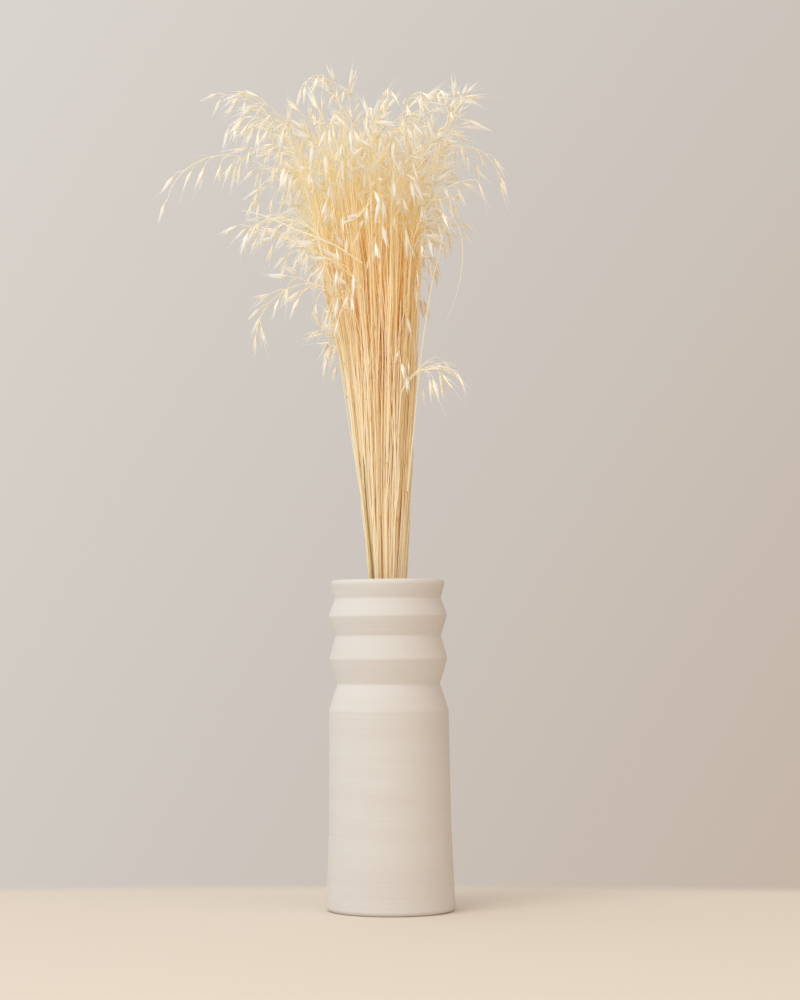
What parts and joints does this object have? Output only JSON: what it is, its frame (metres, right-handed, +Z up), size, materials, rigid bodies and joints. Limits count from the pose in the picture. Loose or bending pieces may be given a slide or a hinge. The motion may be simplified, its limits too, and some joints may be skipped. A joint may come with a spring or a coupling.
{
  "type": "dried oat bunch in vase",
  "caption": "Loose bunch of dried oat stalks with drooping panicles, standing in a tall matt ceramic vase with a ridged neck.",
  "frame": {"origin": "centre of the vase's foot, on the surface that it stands on", "axes": "+Z up along the stems, -Y towards the viewer of the bunch, +X to that viewer's right"},
  "size_m": [0.3232, 0.2771, 0.7828],
  "materials": {
    "vase_ceramic": "matt unglazed, with fine throwing lines",
    "oat_straw": "dry straw stems with papery cream husks"
  },
  "bodies": {
    "root": {"vase": "vase_ceramic", "oat_stalk_01": "oat_straw", "oat_stalk_02": "oat_straw", "oat_stalk_03": "oat_straw", "oat_stalk_04": "oat_straw", "oat_stalk_05": "oat_straw", "oat_stalk_06": "oat_straw", "oat_stalk_07": "oat_straw", "oat_stalk_08": "oat_straw", "oat_stalk_09": "oat_straw", "oat_stalk_10": "oat_straw", "oat_stalk_11": "oat_straw", "oat_stalk_12": "oat_straw", "oat_stalk_13": "oat_straw", "oat_stalk_14": "oat_straw", "oat_stalk_15": "oat_straw", "oat_stalk_16": "oat_straw", "oat_stalk_17": "oat_straw", "oat_stalk_18": "oat_straw", "oat_stalk_19": "oat_straw", "oat_stalk_20": "oat_straw", "oat_stalk_21": "oat_straw", "oat_stalk_22": "oat_straw", "oat_stalk_23": "oat_straw", "oat_stalk_24": "oat_straw", "oat_stalk_25": "oat_straw", "oat_stalk_26": "oat_straw", "oat_stalk_27": "oat_straw", "oat_stalk_28": "oat_straw", "oat_stalk_29": "oat_straw", "oat_stalk_30": "oat_straw", "oat_stalk_31": "oat_straw", "oat_stalk_32": "oat_straw", "oat_stalk_33": "oat_straw", "oat_stalk_34": "oat_straw", "oat_stalk_35": "oat_straw", "oat_stalk_36": "oat_straw", "oat_stalk_37": "oat_straw", "oat_stalk_38": "oat_straw", "oat_stalk_39": "oat_straw", "oat_stalk_40": "oat_straw", "oat_stalk_41": "oat_straw", "oat_stalk_42": "oat_straw", "oat_stalk_43": "oat_straw", "oat_stalk_44": "oat_straw", "oat_stalk_45": "oat_straw", "oat_stalk_46": "oat_straw", "oat_stalk_47": "oat_straw", "oat_stalk_48": "oat_straw", "oat_stalk_49": "oat_straw", "oat_stalk_50": "oat_straw", "oat_stalk_51": "oat_straw", "oat_stalk_52": "oat_straw", "oat_stalk_53": "oat_straw", "oat_stalk_54": "oat_straw", "oat_stalk_55": "oat_straw", "oat_stalk_56": "oat_straw", "oat_stalk_57": "oat_straw", "oat_stalk_58": "oat_straw", "oat_stalk_59": "oat_straw"}
  },
  "joints": []
}
